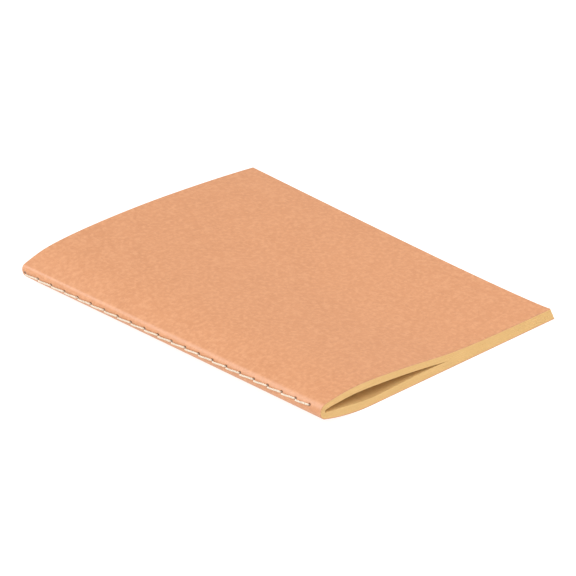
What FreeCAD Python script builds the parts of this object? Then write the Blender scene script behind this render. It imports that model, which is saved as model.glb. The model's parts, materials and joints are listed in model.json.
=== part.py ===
"""Pocket notebook: one card cover folded round twenty nested sheets and sewn through the fold.

Every sheet is one piece of paper folded once, so it gives a back leaf and a front leaf. The back
leaf keeps the fold; the front leaf turns about the crest of that fold and is a solid of its own.
All the sheets are parallel offsets of one closed-book outline drawn in the XZ plane:

    u is measured from the crest of the spine towards the fore-edge, z from the table,
    "inset" is the distance inwards from the outer face of the cover.

Frame: origin at the middle of the footprint, on the table. +X runs from the spine to the
fore-edge, +Y from the tail to the head, +Z up. The front cover is on top.
"""
import FreeCAD, Part
import math
import os

doc = FreeCAD.newDocument("pocket_notebook")

# ---------------------------------------------------------------- driving dimensions, mm and degrees
DIMENSIONS = [
    ("page_length", 139.7),      # head to tail, a quarter of a letter sheet
    ("closed_width", 107.95),    # crest of the spine to the fore-edge of the back cover
    ("card_thick", 0.30),        # cover card
    ("paper_thick", 0.085),      # one sheet of the text block
    ("layer_pitch", 0.098),      # one sheet and the air above it
    ("sheet_count", 20),         # folded sheets, so 40 leaves
    ("halves_gap", 0.02),        # air between the front half and the back half at the fore-edge
    ("fold_radius", 2.80),       # outside of the cover round the spine
    ("under_angle", 16.2),       # lift of the back cover where it meets the spine
    ("under_radius", 80.0),      # sweep of the back cover up to the spine
    ("over_angle", 11.4),        # rise of the front cover where it leaves the spine
    ("crown_radius", 88.0),      # front cover, spine to the crown
    ("shoulder_radius", 180.0),  # front cover, crown to the slope
    ("slope_angle", 5.3),        # fall of the front cover towards the fore-edge
    ("saddle_radius", 300.0),    # front cover, slope to the flat
    ("edge_slant", 0.50),        # how far each layer steps back per mm of height
    ("hinge_reach", 4.0),        # a front leaf starts this far from the crest of its own fold
    ("hinge_slit", 0.10),        # room between the fold and the front leaf
    ("stitch_count", 21),
    ("stitch_pitch", 6.35),      # four stitches to the inch
    ("seam_head_margin", 1.50),  # first needle hole to the head
    ("seam_head_angle", -33.0),  # first hole below the crest, as an angle round the fold
    ("seam_tail_angle", 14.0),   # last hole above the crest: the seam is a little askew
    ("hole_radius", 0.42),
    ("stitch_radius", 0.34),
    ("turn_radius", 0.38),       # the thread where it turns into a hole
    ("leg_radius", 0.33),        # the thread where the hole squeezes it
    ("bobbin_radius", 0.35),
    ("thread_room", 0.02),       # air between a thread and what it lies on
    ("thread_tail", 0.60),       # bobbin thread past the middle of the first and last hole
]
sizes = doc.addObject("Spreadsheet::Sheet", "Sizes")
for row, (alias, value) in enumerate(DIMENSIONS, start=1):
    sizes.set(f"A{row}", alias)
    sizes.set(f"B{row}", str(value))
    sizes.setAlias(f"B{row}", alias)
doc.recompute()


def size(alias):
    """Value of a spreadsheet cell."""
    return float(sizes.get(alias))


SHEET_COUNT = int(size("sheet_count"))
HOLE_COUNT = int(size("stitch_count")) + 1
HALF_THICK = size("card_thick") + SHEET_COUNT * size("layer_pitch")

# ---------------------------------------------------------------- the closed outline, outer face
UNDER = math.radians(size("under_angle"))
OVER = math.radians(size("over_angle"))
SLOPE = math.radians(size("slope_angle"))
FOLD_U = size("fold_radius")
FOLD_Z = size("under_radius") - (size("under_radius") - FOLD_U) * math.cos(UNDER)
UNDER_U = FOLD_U + (size("under_radius") - FOLD_U) * math.sin(UNDER)
CROWN_U = FOLD_U + (size("crown_radius") - FOLD_U) * math.sin(OVER)
CROWN_Z = FOLD_Z - (size("crown_radius") - FOLD_U) * math.cos(OVER) + size("crown_radius")
FLAT_Z = 2 * HALF_THICK + size("halves_gap")
ROUND_DROP = (size("shoulder_radius") + size("saddle_radius")) * (1 - math.cos(SLOPE))
SLOPE_RUN = (CROWN_Z - FLAT_Z - ROUND_DROP) / math.sin(SLOPE)
SADDLE_U = (CROWN_U + (size("shoulder_radius") + size("saddle_radius")) * math.sin(SLOPE)
            + SLOPE_RUN * math.cos(SLOPE))

SEAM_RADIUS = FOLD_U + size("thread_room") + size("turn_radius")
LOCK_RADIUS = FOLD_U - HALF_THICK / 2
SEAM_CREST_U = FOLD_U - SEAM_RADIUS - size("turn_radius")
MIDDLE_U = (size("closed_width") + SEAM_CREST_U) / 2


def point(u, z):
    """A point of the outline in the XZ plane of the model."""
    return FreeCAD.Vector(u - MIDDLE_U, 0, z)


def on_circle(centre, radius, degrees):
    """A point of a circle, with the angle from +X towards +Z."""
    angle = math.radians(degrees)
    return centre + FreeCAD.Vector(radius * math.cos(angle), 0, radius * math.sin(angle))


def arc(centre, radius, first, last):
    """An arc of the outline from one angle to another."""
    middle = (first + last) / 2
    ends = [on_circle(centre, radius, angle) for angle in (first, middle, last)]
    return Part.Arc(*ends).toShape()


def line(first, last):
    """A straight stretch of the outline."""
    return Part.LineSegment(first, last).toShape()


def angle_at(centre, place):
    """The angle at which a place stands round a centre."""
    return math.degrees(math.atan2(place.z - centre.z, place.x - centre.x))


FOLD_CENTRE = point(FOLD_U, FOLD_Z)
UNDER_CENTRE = point(UNDER_U, size("under_radius"))
CROWN_CENTRE = point(CROWN_U, CROWN_Z - size("crown_radius"))
SHOULDER_CENTRE = point(CROWN_U, CROWN_Z - size("shoulder_radius"))
SADDLE_CENTRE = point(SADDLE_U, FLAT_Z + size("saddle_radius"))


def fold_crest(inset):
    """The outermost point of the fold at this inset, where its front leaf hinges."""
    return point(inset, FOLD_Z)


def crown_start(inset, crest, reach):
    """The angle on the crown arc of this inset that is a given reach away from a crest."""
    radius = size("crown_radius") - inset
    to_crest = crest - CROWN_CENTRE
    away = to_crest.Length
    turn = math.acos((radius ** 2 + away ** 2 - reach ** 2) / (2 * radius * away))
    return angle_at(CROWN_CENTRE, crest) - math.degrees(turn)


def fore_edge(z):
    """How far out a layer reaches at this height: each layer steps back from the one below."""
    return size("closed_width") - size("edge_slant") * z


def back_outline(inset, end_u, crest, reach):
    """Fore-edge to spine under the pages, round the fold and on to the hinge."""
    start = crown_start(inset, crest, reach)
    level = inset
    return [
        line(point(end_u, level), point(UNDER_U, level)),
        arc(UNDER_CENTRE, size("under_radius") - inset, 270, 270 - size("under_angle")),
        arc(FOLD_CENTRE, FOLD_U - inset, 270 - size("under_angle"), 90 + size("over_angle")),
        arc(CROWN_CENTRE, size("crown_radius") - inset, 90 + size("over_angle"), start),
    ]


def front_outline(inset, end_u, crest, reach):
    """From the hinge over the crown, down the slope and along the flat to the fore-edge."""
    start = crown_start(inset, crest, reach)
    slope_top = on_circle(SHOULDER_CENTRE, size("shoulder_radius") - inset, 90 - size("slope_angle"))
    slope_foot = on_circle(SADDLE_CENTRE, size("saddle_radius") + inset, 270 - size("slope_angle"))
    level = FLAT_Z - inset
    return [
        arc(CROWN_CENTRE, size("crown_radius") - inset, start, 90),
        arc(SHOULDER_CENTRE, size("shoulder_radius") - inset, 90, 90 - size("slope_angle")),
        line(slope_top, slope_foot),
        arc(SADDLE_CENTRE, size("saddle_radius") + inset, 270 - size("slope_angle"), 270),
        line(point(SADDLE_U, level), point(end_u, level)),
    ]


def hinge_face(crest, reach, outer_inset, inner_inset):
    """The round end of a leaf, turned about the crest of its own fold."""
    angles = []
    for inset in (outer_inset, inner_inset):
        on_crown = crown_start(inset, crest, reach)
        place = on_circle(CROWN_CENTRE, size("crown_radius") - inset, on_crown)
        angles.append(angle_at(crest, place))
    return arc(crest, reach, *angles)


def layer_face(outline, end_z, inset, thick, reach):
    """The flat cross-section of one layer: its outer outline, its inner one and the two ends."""
    crest = fold_crest(inset)
    end_u = fore_edge(end_z)
    outer = outline(inset, end_u, crest, reach)
    inner = outline(inset + thick, end_u, crest, reach)
    if outline is front_outline:
        ends = FLAT_Z - inset, FLAT_Z - inset - thick
    else:
        ends = inset, inset + thick
    cut_edge = line(point(end_u, ends[0]), point(end_u, ends[1]))
    edges = outer + inner + [cut_edge, hinge_face(crest, reach, inset, inset + thick)]
    return Part.Face(Part.Wire(Part.__sortEdges__(edges)))


def layer(name, face):
    """A cross-section run from the tail to the head."""
    section = doc.addObject("Part::Feature", name + "_section")
    section.Shape = face
    section.setExpression("Placement.Base.y", "-Sizes.page_length / 2")
    body = doc.addObject("Part::Extrusion", name + "_run")
    body.Base = section
    body.DirMode = "Custom"
    body.Dir = FreeCAD.Vector(0, 1, 0)
    body.setExpression("LengthFwd", "Sizes.page_length")
    body.Solid = True
    return body


# ---------------------------------------------------------------- places along the seam
def hole_y(index):
    """Expression for the place of a needle hole along the spine, counted from the head."""
    return f"Sizes.page_length / 2 - Sizes.seam_head_margin - {index} * Sizes.stitch_pitch"


def outwards(index):
    """The direction of a needle hole, square to the layers: from the fold's centre outwards."""
    first = size("seam_head_angle")
    last = size("seam_tail_angle")
    angle = math.radians(first + (last - first) * index / (HOLE_COUNT - 1))
    return FreeCAD.Vector(-math.cos(angle), 0, math.sin(angle))


def seam_point(index, radius):
    """A point of a needle hole's axis, a given radius from the fold's centre."""
    along = size("page_length") / 2 - size("seam_head_margin") - index * size("stitch_pitch")
    return FOLD_CENTRE + outwards(index) * radius + FreeCAD.Vector(0, along, 0)


def radial_bar(name, radius, index, start, end):
    """A cylinder on a needle hole's axis, between two radii round the fold's centre."""
    bar = doc.addObject("Part::Cylinder", name)
    bar.setExpression("Radius", radius)
    bar.Height = end - start
    turn = FreeCAD.Rotation(FreeCAD.Vector(0, 0, 1), outwards(index))
    bar.Placement = FreeCAD.Placement(seam_point(index, start), turn)
    bar.setExpression("Placement.Base.y", hole_y(index))
    return bar


def needle_holes():
    """The row of holes that the needle made through the cover and every fold."""
    holes = doc.addObject("Part::Compound", "needle_holes")
    holes.Links = [radial_bar(f"needle_hole_{index}", "Sizes.hole_radius", index, 0, SEAM_RADIUS)
                   for index in range(HOLE_COUNT)]
    return holes


# ---------------------------------------------------------------- leaves and cover
def pierced(name, body, holes):
    """A layer with the needle holes through its fold."""
    cut = doc.addObject("Part::Cut", name)
    cut.Base = body
    cut.Tool = holes
    return cut


def cover_back(holes):
    """Back half of the card cover, with the spine."""
    reach = size("hinge_reach") - size("hinge_slit")
    face = layer_face(back_outline, 0, 0, size("card_thick"), reach)
    return pierced("cover_back", layer("cover_back", face), holes)


def cover_front():
    """Front half of the card cover."""
    face = layer_face(front_outline, FLAT_Z, 0, size("card_thick"), size("hinge_reach"))
    return layer("cover_front", face)


def sheet_inset(number):
    """Inset of a sheet's outer face; sheet 1 lies next to the cover."""
    air = size("layer_pitch") - size("paper_thick")
    return size("card_thick") + (number - 1) * size("layer_pitch") + air


def sheet_back(number, holes):
    """Back leaf of a sheet, with the fold."""
    inset = sheet_inset(number)
    reach = size("hinge_reach") - size("hinge_slit")
    face = layer_face(back_outline, inset, inset, size("paper_thick"), reach)
    name = f"sheet_{number:02d}_back"
    return pierced(name, layer(name, face), holes)


def sheet_front(number):
    """Front leaf of a sheet."""
    inset = sheet_inset(number)
    face = layer_face(front_outline, FLAT_Z - inset, inset, size("paper_thick"), size("hinge_reach"))
    return layer(f"sheet_{number:02d}_front", face)


# ---------------------------------------------------------------- the two threads of the lockstitch
def stitch(index):
    """One outside stitch, from just past one hole to just short of the next."""
    first = seam_point(index, SEAM_RADIUS)
    along = seam_point(index + 1, SEAM_RADIUS) - first
    short = size("turn_radius") / 4
    bar = doc.addObject("Part::Cylinder", f"stitch_{index}")
    bar.setExpression("Radius", "Sizes.stitch_radius")
    bar.Height = along.Length - 2 * short
    turn = FreeCAD.Rotation(FreeCAD.Vector(0, 0, 1), along)
    along.normalize()
    bar.Placement = FreeCAD.Placement(first + along * short, turn)
    return bar


def stitch_turn(index):
    """The bend of the thread at the mouth of a hole."""
    bend = doc.addObject("Part::Sphere", f"stitch_turn_{index}")
    bend.setExpression("Radius", "Sizes.turn_radius")
    turn = FreeCAD.Rotation(FreeCAD.Vector(0, 0, 1), outwards(index))
    bend.Placement = FreeCAD.Placement(seam_point(index, SEAM_RADIUS), turn)
    return bend


def needle_thread():
    """The outside thread: stitches along the spine and legs to half the depth of the fold."""
    start = LOCK_RADIUS + size("thread_room") / 2
    legs = [radial_bar(f"needle_leg_{index}", "Sizes.leg_radius", index, start, SEAM_RADIUS)
            for index in range(HOLE_COUNT)]
    turns = [stitch_turn(index) for index in range(HOLE_COUNT)]
    stitches = [stitch(index) for index in range(HOLE_COUNT - 1)]
    whole = doc.addObject("Part::MultiFuse", "needle_thread")
    whole.Shapes = legs + turns + stitches
    return whole


def bobbin_thread():
    """The inside thread: it fills the innermost fold, with legs out to meet the needle thread."""
    run = doc.addObject("Part::Cylinder", "bobbin_run")
    run.setExpression("Radius", "Sizes.bobbin_radius")
    run.setExpression("Height", "Sizes.stitch_count * Sizes.stitch_pitch + 2 * Sizes.thread_tail")
    run.Placement = FreeCAD.Placement(FOLD_CENTRE, FreeCAD.Rotation(FreeCAD.Vector(1, 0, 0), 90))
    run.setExpression("Placement.Base.y", hole_y(0) + " + Sizes.thread_tail")
    end = LOCK_RADIUS - size("thread_room") / 2
    legs = [radial_bar(f"bobbin_leg_{index}", "Sizes.leg_radius", index, 0, end)
            for index in range(HOLE_COUNT)]
    whole = doc.addObject("Part::MultiFuse", "bobbin_thread")
    whole.Shapes = [run] + legs
    return whole


def build():
    """All the sub-parts, each under the name of its file."""
    holes = needle_holes()
    nodes = {"cover_back": cover_back(holes), "cover_front": cover_front()}
    for number in range(1, SHEET_COUNT + 1):
        nodes[f"sheet_{number:02d}_back"] = sheet_back(number, holes)
        nodes[f"sheet_{number:02d}_front"] = sheet_front(number)
    nodes["needle_thread"] = needle_thread()
    nodes["bobbin_thread"] = bobbin_thread()
    for name, node in nodes.items():
        node.Label = name
    doc.recompute()
    return nodes


def check(nodes):
    """Stop before anything is written if an object failed or a sub-part isn't one sound solid."""
    for item in doc.Objects:
        if "Invalid" in item.State or "Error" in item.State:
            raise RuntimeError(f"{item.Name} failed: {item.State}")
    for name, node in nodes.items():
        shape = node.Shape
        if shape.isNull() or not shape.isValid() or len(shape.Solids) != 1:
            raise RuntimeError(f"{name} isn't one valid solid")


nodes = build()
check(nodes)
os.makedirs("parts", exist_ok=True)
for name, node in nodes.items():
    node.Shape.exportStep(f"parts/{name}.step")
print("sub-parts", len(nodes))
print("hinge height", round(FOLD_Z, 4), "spine crest x", round(fold_crest(0).x, 4))
print("sheet crests x", [round(fold_crest(sheet_inset(n)).x, 4) for n in range(1, SHEET_COUNT + 1)])
print("crown height", round(CROWN_Z, 3), "fore-edge height", round(FLAT_Z, 3))
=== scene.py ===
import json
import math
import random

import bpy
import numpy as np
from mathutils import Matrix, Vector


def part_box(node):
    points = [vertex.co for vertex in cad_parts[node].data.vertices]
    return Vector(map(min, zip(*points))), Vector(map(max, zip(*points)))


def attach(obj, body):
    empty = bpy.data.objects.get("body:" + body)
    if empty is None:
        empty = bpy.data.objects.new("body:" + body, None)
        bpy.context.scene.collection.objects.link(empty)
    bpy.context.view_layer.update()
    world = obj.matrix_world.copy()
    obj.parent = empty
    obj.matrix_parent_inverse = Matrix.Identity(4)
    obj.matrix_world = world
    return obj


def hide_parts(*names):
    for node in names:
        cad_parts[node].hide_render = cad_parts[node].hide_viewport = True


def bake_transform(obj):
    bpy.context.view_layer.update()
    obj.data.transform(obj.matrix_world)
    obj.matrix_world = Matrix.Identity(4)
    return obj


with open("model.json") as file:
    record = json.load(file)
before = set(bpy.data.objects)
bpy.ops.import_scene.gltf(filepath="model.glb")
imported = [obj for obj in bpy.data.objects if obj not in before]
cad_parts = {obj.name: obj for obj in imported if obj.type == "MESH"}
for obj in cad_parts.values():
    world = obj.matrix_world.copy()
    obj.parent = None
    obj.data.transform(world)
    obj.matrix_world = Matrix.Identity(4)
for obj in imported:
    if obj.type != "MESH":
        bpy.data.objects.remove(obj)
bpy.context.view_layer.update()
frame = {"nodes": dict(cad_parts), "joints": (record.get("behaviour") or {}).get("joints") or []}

# Pocket notebook: a kraft card cover folded round twenty nested sheets and sewn through the fold.
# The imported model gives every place. The pieces made here are the closed book as it really lies:
# each leaf is a thin closed mesh on its own outline, and the outline changes from tail to head.
#
# Sections are drawn in millimetres. u runs from the crest of the spine to the fore-edge, z up
# from the table, and v from 0 at the tail to 1 at the head.

MM = 0.001
CHANCE = random.Random(7)

# ---------------------------------------------------------------- places that come from the frame
JOINTS = {joint["child"]: joint for joint in frame["joints"]}
CREST_X, _, CREST_Z = (value / MM for value in JOINTS["cover_front"]["pos_m"])
TAIL_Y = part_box("cover_back")[0].y / MM
HEAD_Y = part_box("cover_back")[1].y / MM
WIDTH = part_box("cover_back")[1].x / MM - CREST_X
EDGE_Z = 2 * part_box("sheet_20_front")[0].z / MM
SHEETS = sum(name.endswith("_front") and name.startswith("sheet_") for name in frame["nodes"])

# ---------------------------------------------------------------- the paper and the card
CARD = 0.30                # thickness of the cover
PITCH = 0.098              # one sheet and its air, where the book is pressed
PAPER_SHARE = 0.93         # how much of the pitch is paper
EDGE_SLANT = 0.44          # each layer steps back this much per mm of height
EDGE_HOLLOW = 1.30         # how far the middle of the fore-edge stands back from its corners
EDGE_LIFT = 0.60           # how much thicker the fore-edge is at the head
SWEEP = 80.0               # radius of the back cover's sweep up to the spine
SETTLE = 7.0               # distance from the fold over which layers turn square to the outline

# ---------------------------------------------------------------- the seam
HOLES = 22
HOLE_PITCH = 6.35          # four stitches to the inch
HEAD_MARGIN = 1.15         # first needle hole to the head
SEAM_TAIL = 23.0           # degrees above the crest at the tail
SEAM_HEAD = -25.0          # and at the head: the seam is a little askew
STITCH_TILT = 5.5          # degrees round the fold; each stitch tips by a share of this
DENT = 0.26                # how deep a needle pushed the card in
DENT_REACH = 0.62          # radius of that dent
PUCKER = 0.05              # the shallow hollow round it
MARK_RISE = 0.09           # the hole shows this far above its thread, in radians round the fold
PLY = 0.185                # radius of one of the thread's three plies
ORBIT = 0.160              # how far a ply's middle is from the thread's middle
LAY = 2.3                  # length of one turn of the twist

# ---------------------------------------------------------------- the view
AZIMUTH = -44.35
ELEVATION = 27.96
DISTANCE = 3.0
LENS = 568.9
AIM = (-0.001585, 0.00415, 0.003)
AIM_RIGHT = 0.004245       # the view's middle lies this far to the right of the aim
AIM_UP = 0.00102           # and this far above it


def between(tail, head, v):
    """A value that changes evenly from the tail to the head."""
    return tail + (head - tail) * v


def smooth_curve(knots, values, start_slope, end_slope):
    """A cubic curve through the knots with both end slopes given, as a function of one array."""
    gaps = np.diff(knots)
    rises = np.diff(values) / gaps
    count = len(knots)
    matrix = np.zeros((count, count))
    wanted = np.zeros(count)
    matrix[0, 0] = matrix[-1, -1] = 1.0
    wanted[0], wanted[-1] = start_slope, end_slope
    for i in range(1, count - 1):
        matrix[i, i - 1] = gaps[i]
        matrix[i, i] = 2 * (gaps[i - 1] + gaps[i])
        matrix[i, i + 1] = gaps[i - 1]
        wanted[i] = 3 * (gaps[i] * rises[i - 1] + gaps[i - 1] * rises[i])
    slopes = np.linalg.solve(matrix, wanted)

    def curve(u):
        i = np.clip(np.searchsorted(knots, u) - 1, 0, count - 2)
        t = (u - knots[i]) / gaps[i]
        a = values[i] * (1 + 2 * t) * (1 - t) ** 2 + values[i + 1] * t * t * (3 - 2 * t)
        b = gaps[i] * (slopes[i] * t * (1 - t) ** 2 - slopes[i + 1] * t * t * (1 - t))
        return a + b

    return curve


# Height of the front cover along u. At the tail it sags on to the pages; at the head it is one arch.
FRONT_U = [8, 16, 26, 38, 52, 60, 70, 88]
FRONT_TAIL = [9.48, 10.00, 9.52, 8.35, 6.62, 5.75, 5.15, 4.70]
FRONT_HEAD = [9.46, 10.32, 10.63, 10.56, 10.10, 9.68, 8.98, 7.42]

# How much looser than pressed the pages lie along u, in the back half and in the front half.
LOOSE_BACK = smooth_curve(np.array([0.0, 3, 9, 22, 46, 62, 80, 108]),
                          np.array([1.0, 1.10, 1.42, 1.30, 1.52, 1.36, 1.10, 1.0]), 0.0, 0.0)
LOOSE_FRONT = smooth_curve(np.array([0.0, 3, 9, 50, 62, 80, 108]),
                           np.array([1.0, 1.06, 1.20, 1.22, 1.27, 1.10, 1.0]), 0.0, 0.0)


def eased(value):
    """0 to 1 with a soft start and a soft end."""
    share = np.clip(value, 0, 1)
    return share * share * (3 - 2 * share)


class Section:
    """The closed book's outer outline at one place between the tail and the head.

    The fold is round at the tail. Towards the head its middle sinks, and a lean holds its crest
    up: a point of it is (middle - r cos t, middle + r sin t + lean r cos t).
    """

    def __init__(self, v):
        self.radius = between(2.95, 2.75, v)
        self.lean = between(0.0, 0.50, v)
        self.crest_u = between(0.0, -0.70, v)
        self.fold_z = CREST_Z + between(-0.07, -1.40, v)
        self.under = self.meet_sweep()
        self.under_u = self.fold_point(-self.last_turn(self.under))[0] + SWEEP * math.sin(self.under)
        self.start_slope = between(0.19, 0.30, v)
        self.start_turn = math.atan(1 / (self.start_slope + self.lean))
        start_u, start_z = self.fold_point(self.start_turn)
        self.start_u = start_u
        # The fore-edge is most hollow a third of the way from the tail.
        self.bow = math.sin(math.pi * v ** 0.6)
        knots = np.array([start_u, *FRONT_U, WIDTH])
        middle = [between(tail, head, v) for tail, head in zip(FRONT_TAIL, FRONT_HEAD)]
        end_z = EDGE_Z + EDGE_LIFT * v * v
        heights = np.array([start_z, *middle, end_z])
        self.end_z = end_z
        self.front = smooth_curve(knots, heights, self.start_slope, between(-0.005, -0.13, v))

    def fold_point(self, turn):
        """A point of the fold; turn is 0 at the crest, positive above it."""
        r = self.radius
        return (self.crest_u + r * (1 - np.cos(turn)),
                self.fold_z + r * (np.sin(turn) + self.lean * np.cos(turn)))

    def last_turn(self, under):
        """How far under the crest the fold has the slope of the sweep."""
        return math.atan2(1.0, math.tan(under) - self.lean)

    def meet_sweep(self):
        """The sweep's angle where it meets the fold, found by halving."""
        low, high = 0.0, 0.6
        for _ in range(40):
            under = (low + high) / 2
            above = self.fold_point(-self.last_turn(under))[1] - SWEEP * (1 - math.cos(under))
            low, high = (under, high) if above > 0 else (low, under)
        return low

    def back(self, u):
        """Height of the underside of the back cover."""
        lift = np.clip(self.under_u - u, 0.0, SWEEP * math.sin(self.under))
        return SWEEP - np.sqrt(SWEEP ** 2 - lift ** 2)

    def looseness(self, u, curve):
        """How loose the pages lie, but never so loose that the two halves meet."""
        wide = np.clip(u, self.start_u + 3, WIDTH)
        room = self.front(wide) - self.back(wide) - 2 * CARD - 0.03
        both = SHEETS * PITCH * (LOOSE_BACK(wide) + LOOSE_FRONT(wide))
        return curve(np.maximum(u, 0.0)) * np.minimum(1.0, room / both)

    def fold_line(self, turn):
        """Points of the fold and the way in to the next layer, as four rows."""
        u, z = self.fold_point(turn)
        return np.stack([u, z, np.cos(turn), -np.sin(turn) - self.lean * np.cos(turn)])

    def settled(self, line, joint):
        """Turns the way in from the fold's own to square with the outline."""
        share = eased(np.abs(line[0] - joint[0]) / SETTLE)
        line[2] = joint[2] + (line[2] - joint[2]) * share
        line[3] = joint[3] + (line[3] - joint[3]) * share
        return line

    def back_line(self, end_u, steps):
        """Outer points, ways in and looseness: fore-edge, underside, spine, crest."""
        flat, sweep, fold = steps
        bent = self.fold_line(np.linspace(-self.last_turn(self.under), 0, fold))
        u = np.linspace(end_u, self.under_u, flat, endpoint=False)
        level = np.stack([u, 0 * u, 0 * u, 1 + 0 * u])
        turn = np.linspace(0, self.under, sweep, endpoint=False)
        swept = np.stack([self.under_u - SWEEP * np.sin(turn), SWEEP - SWEEP * np.cos(turn),
                          np.sin(turn), np.cos(turn)])
        flatter = self.settled(np.concatenate([level, swept], axis=1), bent[:, 0])
        line = np.concatenate([flatter, bent], axis=1)
        return np.vstack([line, self.looseness(line[0], LOOSE_BACK)])

    def front_line(self, end_u, steps):
        """Outer points, ways in and looseness: crest, crown, fore-edge."""
        fold, top = steps
        bent = self.fold_line(np.linspace(0, self.start_turn, fold))
        # The power sets the points closer together beside the fold.
        u = self.start_u + (end_u - self.start_u) * np.linspace(0, 1, top + 1)[1:] ** 1.35
        rise = (self.front(u + 0.01) - self.front(u - 0.01)) / 0.02
        away = np.hypot(1, rise)
        level = self.settled(np.stack([u, self.front(u), rise / away, -1 / away]), bent[:, -1])
        line = np.concatenate([bent, level], axis=1)
        return np.vstack([line, self.looseness(line[0], LOOSE_FRONT)])

    def fore_edge(self, level):
        """How far out a layer at this height reaches: trimmed on a slant, a little hollow."""
        return WIDTH - EDGE_SLANT * level - EDGE_HOLLOW * self.bow


def inset_line(line, card_share, sheets):
    """The outline moved inwards by a share of the card and a number of sheets."""
    depth = CARD * card_share + PITCH * sheets * line[4]
    return np.stack([line[0] + line[2] * depth, line[1] + line[3] * depth])


def at_height(u, y, z):
    """A point in metres in the model's frame."""
    return np.stack([(u + CREST_X) * MM, y * MM, z * MM], axis=-1)


# ---------------------------------------------------------------- meshes
def make_object(name, verts, faces, material):
    """A smooth-shaded mesh with its true edges kept sharp."""
    mesh = bpy.data.meshes.new(name)
    mesh.from_pydata(verts.tolist(), [], faces)
    mesh.validate()
    mesh.shade_smooth()
    mesh.set_sharp_from_angle(angle=math.radians(40))
    mesh.materials.append(material)
    piece = bpy.data.objects.new(name, mesh)
    bpy.context.scene.collection.objects.link(piece)
    return piece


def slab(outer, inner):
    """A closed sheet between two grids of points: (corners, faces)."""
    rows, columns = outer.shape[:2]
    verts = np.concatenate([outer.reshape(-1, 3), inner.reshape(-1, 3)])
    under = rows * columns

    def at(row, column):
        return row * columns + column

    faces = []
    for r in range(rows - 1):
        for c in range(columns - 1):
            quad = (at(r, c), at(r, c + 1), at(r + 1, c + 1), at(r + 1, c))
            faces.append(quad)
            faces.append(tuple(corner + under for corner in reversed(quad)))
    for r in range(rows - 1):
        for c, flip in ((0, False), (columns - 1, True)):
            wall = (at(r, c), at(r + 1, c), at(r + 1, c) + under, at(r, c) + under)
            faces.append(wall[::-1] if flip else wall)
    for c in range(columns - 1):
        for r, flip in ((0, True), (rows - 1, False)):
            wall = (at(r, c), at(r, c + 1), at(r, c + 1) + under, at(r, c) + under)
            faces.append(wall[::-1] if flip else wall)
    return verts, faces


# ---------------------------------------------------------------- materials
def new_material(name, roughness, specular):
    """An empty node material: (material, nodes, links, shader)."""
    material = bpy.data.materials.new(name)
    material.use_nodes = True
    nodes, links = material.node_tree.nodes, material.node_tree.links
    shader = nodes["Principled BSDF"]
    shader.inputs["Roughness"].default_value = roughness
    shader.inputs["Specular IOR Level"].default_value = specular
    return material, nodes, links, shader


def place(nodes, links, stretch=(1, 1, 1), turn=(0, 0, 0)):
    """Object coordinates in metres, turned and stretched."""
    source = nodes.new("ShaderNodeTexCoord")
    mapping = nodes.new("ShaderNodeMapping")
    mapping.inputs["Scale"].default_value = stretch
    mapping.inputs["Rotation"].default_value = turn
    links.new(source.outputs["Object"], mapping.inputs["Vector"])
    return mapping.outputs["Vector"]


def noise(nodes, links, vector, scale, detail=2.0, rough=0.5):
    """A noise value of about 0 to 1."""
    node = nodes.new("ShaderNodeTexNoise")
    node.inputs["Scale"].default_value = scale
    node.inputs["Detail"].default_value = detail
    node.inputs["Roughness"].default_value = rough
    links.new(vector, node.inputs["Vector"])
    return node.outputs["Fac"]


def remap(nodes, links, value, low, high, to_low, to_high):
    """A value clamped between low and high and moved to a new range."""
    node = nodes.new("ShaderNodeMapRange")
    node.inputs["From Min"].default_value = low
    node.inputs["From Max"].default_value = high
    node.inputs["To Min"].default_value = to_low
    node.inputs["To Max"].default_value = to_high
    links.new(value, node.inputs["Value"])
    return node.outputs["Result"]


def maths(nodes, links, kind, first, second):
    """Two values joined by one operation."""
    node = nodes.new("ShaderNodeMath")
    node.operation = kind
    for slot, value in enumerate((first, second)):
        if isinstance(value, (int, float)):
            node.inputs[slot].default_value = value
        else:
            links.new(value, node.inputs[slot])
    return node.outputs["Value"]


def tint(nodes, links, share, first, second):
    """A colour between two, by a share; each is a colour or another node's colour."""
    node = nodes.new("ShaderNodeMix")
    node.data_type = "RGBA"
    for slot, value in ((6, first), (7, second)):
        if isinstance(value, tuple):
            node.inputs[slot].default_value = (*value, 1)
        else:
            links.new(value, node.inputs[slot])
    links.new(share, node.inputs["Factor"])
    return node.outputs[2]


def bump(nodes, links, shader, height, distance):
    """Fine relief on the shader's normal."""
    node = nodes.new("ShaderNodeBump")
    node.inputs["Distance"].default_value = distance
    links.new(height, node.inputs["Height"])
    links.new(node.outputs["Normal"], shader.inputs["Normal"])


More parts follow.
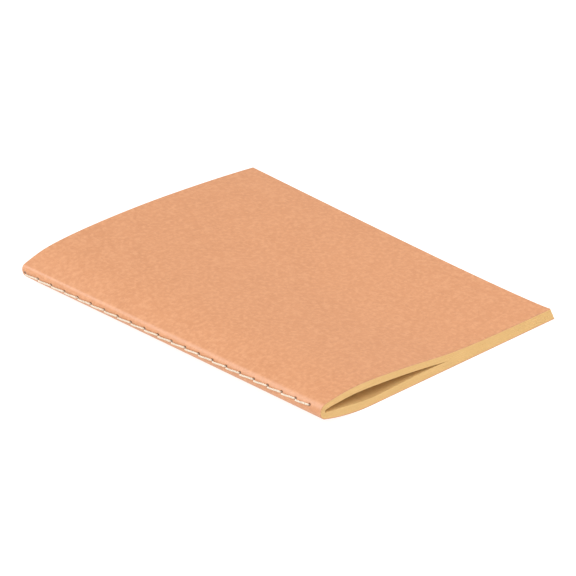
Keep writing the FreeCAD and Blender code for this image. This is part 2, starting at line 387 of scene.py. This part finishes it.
def kraft_material():
    """Warm tan card: cloudy pulp, short fibres every way, a few dark specks, and painted shade
    darkening the needle holes.
    """
    material, nodes, links, shader = new_material("kraft_card", 0.50, 0.75)
    plain = place(nodes, links)
    cloud = noise(nodes, links, plain, 95, 3, 0.55)
    mottle = noise(nodes, links, plain, 700, 3, 0.6)
    along = noise(nodes, links, place(nodes, links, (420, 2100, 900), (0, 0, 0.5)), 1, 2)
    across = noise(nodes, links, place(nodes, links, (2300, 480, 900), (0, 0, -0.3)), 1, 2)
    fibre = maths(nodes, links, "MULTIPLY", maths(nodes, links, "ADD", along, across), 0.5)
    colour = tint(nodes, links, remap(nodes, links, cloud, 0.32, 0.68, 0, 1),
                  (0.535, 0.226, 0.094), (0.560, 0.240, 0.102))
    colour = tint(nodes, links, remap(nodes, links, mottle, 0.42, 0.66, 0, 0.80),
                  colour, (0.640, 0.300, 0.142))
    colour = tint(nodes, links, remap(nodes, links, fibre, 0.53, 0.64, 0, 0.30),
                  colour, (0.430, 0.172, 0.068))
    cells = nodes.new("ShaderNodeTexVoronoi")
    cells.inputs["Scale"].default_value = 175
    links.new(plain, cells.inputs["Vector"])
    split = nodes.new("ShaderNodeSeparateColor")
    links.new(cells.outputs["Color"], split.inputs["Color"])
    rare = maths(nodes, links, "GREATER_THAN", split.outputs["Red"], 0.93)
    spot = remap(nodes, links, cells.outputs["Distance"], 0.03, 0.075, 0.55, 0)
    colour = tint(nodes, links, maths(nodes, links, "MULTIPLY", rare, spot),
                  colour, (0.240, 0.105, 0.052))
    # Painted shade: the needle holes are darkened in the base colour, standing in for the shade inside
    # them.
    painted_shade = nodes.new("ShaderNodeAttribute")
    painted_shade.attribute_name = "painted_hole_shade"
    colour = tint(nodes, links, painted_shade.outputs["Fac"], colour, (0.115, 0.045, 0.022))
    links.new(colour, shader.inputs["Base Color"])
    links.new(remap(nodes, links, mottle, 0.3, 0.7, 0.45, 0.55), shader.inputs["Roughness"])
    height = maths(nodes, links, "ADD", fibre, maths(nodes, links, "MULTIPLY", mottle, 0.8))
    bump(nodes, links, shader, height, 0.00006)
    return material


def paper_material():
    """Soft yellow-tan paper, with a slight streak from leaf to leaf and fine tooth."""
    material, nodes, links, shader = new_material("page_paper", 0.88, 0.15)
    plain = place(nodes, links)
    cloud = noise(nodes, links, plain, 130, 3)
    streak = noise(nodes, links, place(nodes, links, (45, 45, 5200)), 1, 1)
    tooth = noise(nodes, links, plain, 2600, 2)
    colour = tint(nodes, links, remap(nodes, links, cloud, 0.3, 0.7, 0, 1),
                  (0.690, 0.444, 0.184), (0.728, 0.472, 0.200))
    colour = tint(nodes, links, remap(nodes, links, streak, 0.45, 0.70, 0, 0.35),
                  colour, (0.590, 0.360, 0.138))
    colour = tint(nodes, links, remap(nodes, links, tooth, 0.5, 0.75, 0, 0.25),
                  colour, (0.800, 0.550, 0.265))
    links.new(colour, shader.inputs["Base Color"])
    bump(nodes, links, shader, tooth, 0.00003)
    return material


def thread_material():
    """Cream cotton: fine fibres along the twist."""
    material, nodes, links, shader = new_material("sewing_thread", 0.62, 0.35)
    shader.inputs["Sheen Weight"].default_value = 0.25
    shader.inputs["Sheen Roughness"].default_value = 0.5
    fibre = noise(nodes, links, place(nodes, links, (6500, 1500, 6500)), 1, 2)
    colour = tint(nodes, links, remap(nodes, links, fibre, 0.35, 0.65, 0, 1),
                  (0.680, 0.560, 0.430), (0.820, 0.720, 0.590))
    links.new(colour, shader.inputs["Base Color"])
    bump(nodes, links, shader, fibre, 0.00004)
    return material


KRAFT = kraft_material()
PAPER = paper_material()
THREAD = thread_material()


# ---------------------------------------------------------------- the seam's places
def hole_y(index):
    """How far along the spine a needle hole is, counted from the head."""
    return HEAD_Y - HEAD_MARGIN - HOLE_PITCH * index


def share_of(y):
    """0 at the tail, 1 at the head."""
    return min(1.0, max(0.0, (y - TAIL_Y) / (HEAD_Y - TAIL_Y)))


def seam_angle(y):
    """Where the seam lies round the fold, in radians above the crest."""
    return math.radians(between(SEAM_TAIL, SEAM_HEAD, share_of(y)))


def on_spine(y, angle, lift):
    """A point over the spine's outer face, in metres."""
    line = Section(share_of(y)).fold_line(np.array([angle]))[:, 0]
    return Vector(((line[0] - line[2] * lift + CREST_X) * MM, y * MM, (line[1] - line[3] * lift) * MM))


# ---------------------------------------------------------------- the cover
def cover_rows():
    """Places along the spine: close together round each needle hole, wider elsewhere."""
    near = np.array([-0.62, -0.46, -0.34, -0.23, -0.12, 0.0, 0.12, 0.23, 0.34, 0.46, 0.62])
    rows = [hole_y(index) + near for index in range(HOLES)]
    rows += [[hole_y(index) - HOLE_PITCH * part] for index in range(HOLES - 1)
             for part in (0.2, 0.35, 0.5, 0.65, 0.8)]
    rows.append(np.linspace(TAIL_Y, hole_y(HOLES - 1) - 1.0, 4))
    rows.append([HEAD_Y, HEAD_Y - 0.45])
    return np.unique(np.round(np.concatenate(rows), 4))


def needle_dents(y, angle):
    """(how deep the card is pushed in, how much painted shade darkens the hole) at places round the
    fold of one row.
    """
    index = min(HOLES - 1, max(0, round((hole_y(0) - y) / HOLE_PITCH)))
    section = Section(share_of(y))
    along = y - hole_y(index)
    across = (angle - seam_angle(hole_y(index)) - MARK_RISE) * section.radius
    away = np.hypot(along, across)
    fall = np.clip(1 - away / DENT_REACH, 0, 1)
    pucker = np.clip(1 - np.hypot(along / 1.1, across / 0.8), 0, 1) ** 2
    depth = DENT * fall ** 0.8 + PUCKER * pucker
    # The second value is painted shade: it darkens the card's colour at the hole in place of the shade
    # inside it.
    return depth, np.clip(1.6 - away / 0.42, 0, 1)


def make_cover():
    """The whole card as one piece, folded round the spine."""
    outer, inner, dark = [], [], []
    for y in cover_rows():
        section = Section(share_of(y))
        back = section.back_line(section.fore_edge(0), (12, 12, 48))
        front = section.front_line(section.fore_edge(section.end_z), (44, 70))
        line = np.concatenate([back[:, :-1], front], axis=1)
        away = np.clip((section.crest_u + section.radius - line[0]) / section.radius, -1, 1)
        angle = np.arccos(away) * np.where(np.arange(line.shape[1]) < back.shape[1] - 1, -1, 1)
        # The dents are real relief; the second value, gathered in dark, is painted shade for the
        # needle holes.
        depth, painted_shade = needle_dents(y, angle)
        face = line[:2] + line[2:4] * depth
        back_face = inset_line(line, 1, 0)
        outer.append(at_height(face[0], y + 0 * face[0], face[1]))
        inner.append(at_height(back_face[0], y + 0 * face[0], back_face[1]))
        dark.append(painted_shade)
    verts, faces = slab(np.array(outer), np.array(inner))
    piece = make_object("cover_card", verts, faces, KRAFT)
    painted_shade_layer = piece.data.attributes.new("painted_hole_shade", "FLOAT", "POINT")
    painted_shade_layer.data.foreach_set("value", np.concatenate([np.ravel(dark), 0 * np.ravel(dark)]))
    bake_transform(piece)
    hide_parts("cover_back", "cover_front")
    return piece


# ---------------------------------------------------------------- the sheets
def make_leaf(name, number, side, steps):
    """One leaf of a sheet, with its own small unevenness at the three cut edges."""
    low = TAIL_Y + CHANCE.uniform(-0.02, 0.05)
    high = HEAD_Y + CHANCE.uniform(-0.05, 0.02)
    uneven = CHANCE.uniform(-0.05, 0.05)
    first = number - 1
    outer, inner = [], []
    for y in np.linspace(low, high, 27):
        section = Section(share_of(y))
        if side == "back":
            line = section.back_line(section.fore_edge(CARD + PITCH * first) + uneven, steps)
        else:
            level = section.end_z - CARD - PITCH * first
            line = section.front_line(section.fore_edge(level) + uneven, steps)
        for rows, sheets in ((outer, first + 1 - PAPER_SHARE), (inner, first + 1)):
            u, z = inset_line(line, 1, sheets)
            rows.append(at_height(u, y + 0 * u, z))
    verts, faces = slab(np.array(outer), np.array(inner))
    return make_object(name, verts, faces, PAPER)


def make_sheets():
    """Twenty folded sheets: the back leaf keeps the fold and goes with the sewn back; the front leaf
    is left where it is drawn.
    """
    for number in range(1, SHEETS + 1):
        node = f"sheet_{number:02d}"
        back = make_leaf(f"page_{number:02d}_back", number, "back", (12, 14, 16))
        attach(back, "sewn_back")
        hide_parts(node + "_back")
        front = make_leaf(f"page_{number:02d}_front", number, "front", (16, 56))
        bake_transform(front)
        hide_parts(node + "_front")


# ---------------------------------------------------------------- the two threads
def through(points, steps):
    """A smooth path through the points."""
    padded = [points[0] * 2 - points[1], *points, points[-1] * 2 - points[-2]]
    path = []
    for i in range(1, len(padded) - 2):
        a, b, c, d = padded[i - 1:i + 3]
        for step in range(steps):
            t = step / steps
            path.append(0.5 * (2 * b + (c - a) * t + (2 * a - 5 * b + 4 * c - d) * t * t
                               + (3 * b - a - 3 * c + d) * t ** 3))
    path.append(points[-1])
    return path


def twisted(name, path, squeeze, ply=PLY, orbit=ORBIT):
    """A closed three-ply thread along a path; squeeze thins it where a hole grips it."""
    sides = 8
    across = Vector((1, 0, 0))
    rings = [[], [], []]
    travelled = 0.0
    for i, here in enumerate(path):
        ahead = (path[min(i + 1, len(path) - 1)] - path[max(i - 1, 0)]).normalized()
        across = (across - ahead * across.dot(ahead)).normalized()
        other = ahead.cross(across)
        if i:
            travelled += (here - path[i - 1]).length
        for strand in range(3):
            turn = 2 * math.pi * (travelled / (LAY * MM) + strand / 3)
            out = across * math.cos(turn) + other * math.sin(turn)
            side = ahead.cross(out)
            centre = here + out * orbit * MM * squeeze[i]
            radius = ply * MM * squeeze[i]
            angles = [2 * math.pi * k / sides for k in range(sides)]
            rings[strand].append([centre + (out * math.cos(a) + side * math.sin(a)) * radius
                                  for a in angles])
    verts, faces = [], []
    for strand in rings:
        base = len(verts)
        for ring in strand:
            verts.extend(ring)
        for i in range(len(strand) - 1):
            for k in range(sides):
                a = base + i * sides + k
                b = base + i * sides + (k + 1) % sides
                faces.append((a, b, b + sides, a + sides))
        faces.append(tuple(base + k for k in reversed(range(sides))))
        last = base + (len(strand) - 1) * sides
        faces.append(tuple(last + k for k in range(sides)))
    return make_object(name, np.array([tuple(v) for v in verts]), faces, THREAD)


def make_outside_thread():
    """Twenty-one stitches: each rises from one hole, lies on the card and dips into the next."""
    points, lifts = [], []
    tilt = math.radians(STITCH_TILT)
    for index in range(HOLES - 1):
        first, second = hole_y(index), hole_y(index + 1)
        for y, angle, lift in (
            (first - 0.18, seam_angle(first) - 0.8 * tilt, -1.05),
            (first - 0.24, seam_angle(first) - 0.8 * tilt, -0.16),
            (first - 0.56, seam_angle(first) - 0.8 * tilt, 0.26),
            (first * 0.67 + second * 0.33, seam_angle(first) - 0.5 * tilt, 0.32),
            (first * 0.33 + second * 0.67, seam_angle(second), 0.32),
            (second + 0.56, seam_angle(second) + 0.3 * tilt, 0.26),
            (second + 0.24, seam_angle(second) + 0.3 * tilt, -0.16),
            (second + 0.18, seam_angle(second) + 0.3 * tilt, -1.05),
        ):
            points.append(on_spine(y, angle, lift))
            lifts.append(lift)
    steps = 7
    path = through(points, steps)
    tightness = [0.62 if lift < 0 else 1.0 for lift in lifts]
    where = np.arange(len(path)) / steps
    squeeze = [float(x) for x in np.interp(where, range(len(lifts)), tightness)]
    piece = twisted("outside_thread", path, squeeze)
    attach(piece, "sewn_back")
    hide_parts("needle_thread")


def make_inside_thread():
    """The thread that lies along the innermost fold, drawn out a little at each hole."""
    points = []
    for index in range(HOLES):
        y = hole_y(index)
        section = Section(share_of(y))
        rest = -(section.radius - 0.12)
        if index == 0:
            points.append(on_spine(y + 0.6, 0, rest))
        points.append(on_spine(y, seam_angle(y), rest + 0.30))
        last = y - HOLE_PITCH * 0.5 if index < HOLES - 1 else y - 0.6
        points.append(on_spine(last, 0, rest))
    path = through(points, 12)
    piece = twisted("inside_thread", path, [0.8] * len(path), 0.19)
    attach(piece, "sewn_back")
    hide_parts("bobbin_thread")


# ---------------------------------------------------------------- floor, light and camera
def make_floor():
    """A plain white light table, well past the object on every side."""
    mesh = bpy.data.meshes.new("floor")
    reach = 6.0
    corners = [(-reach, -reach, 0), (reach, -reach, 0), (reach, reach, 0), (-reach, reach, 0)]
    mesh.from_pydata(corners, [], [(0, 1, 2, 3)])
    material, nodes, links, shader = new_material("floor_white", 0.9, 0.1)
    shader.inputs["Base Color"].default_value = (0.30, 0.30, 0.30, 1)
    shader.inputs["Emission Color"].default_value = (1, 1, 1, 1)
    shader.inputs["Emission Strength"].default_value = 0.85
    mesh.materials.append(material)
    floor = bpy.data.objects.new("floor", mesh)
    bpy.context.scene.collection.objects.link(floor)


def area_light(name, place_m, aim_m, width, power):
    """A large soft light that points at a place."""
    data = bpy.data.lights.new(name, "AREA")
    data.shape = "SQUARE"
    data.size = width
    data.energy = power
    light = bpy.data.objects.new(name, data)
    light.location = place_m
    light.rotation_euler = (Vector(aim_m) - Vector(place_m)).to_track_quat("-Z", "Y").to_euler()
    bpy.context.scene.collection.objects.link(light)


def make_light():
    """White surroundings, a wide key behind the spine, a soft front light and a small fill."""
    world = bpy.data.worlds.new("white_room")
    world.use_nodes = True
    background = world.node_tree.nodes["Background"]
    background.inputs["Color"].default_value = (1, 1, 1, 1)
    background.inputs["Strength"].default_value = 0.57
    bpy.context.scene.world = world
    area_light("key", (-0.9, 1.2, 1.1), (0, 0, 0), 1.6, 35)
    area_light("front", (-0.9, -1.4, 0.8), (0, 0, 0), 1.0, 9)
    area_light("fill", (0.50, -0.35, 0.55), (0.05, -0.03, 0), 0.35, 3.0)
    bpy.context.scene.view_settings.view_transform = "Standard"


def make_camera():
    """A long lens from the spine and tail side."""
    azimuth, elevation = math.radians(AZIMUTH), math.radians(ELEVATION)
    back = Vector((math.sin(azimuth) * math.cos(elevation),
                   -math.cos(azimuth) * math.cos(elevation),
                   math.sin(elevation)))
    right = Vector((math.cos(azimuth), math.sin(azimuth), 0))
    up = back.cross(right)
    aim = Vector(AIM) + right * AIM_RIGHT + up * AIM_UP
    data = bpy.data.cameras.new("camera")
    data.sensor_width = 36
    data.lens = LENS
    data.clip_end = 50
    camera = bpy.data.objects.new("camera", data)
    camera.location = aim + back * DISTANCE
    camera.rotation_mode = "QUATERNION"
    camera.rotation_quaternion = (-back).to_track_quat("-Z", "Y")
    bpy.context.scene.collection.objects.link(camera)
    bpy.context.scene.camera = camera


make_camera()
make_cover()
make_sheets()
make_outside_thread()
make_inside_thread()
make_floor()
make_light()
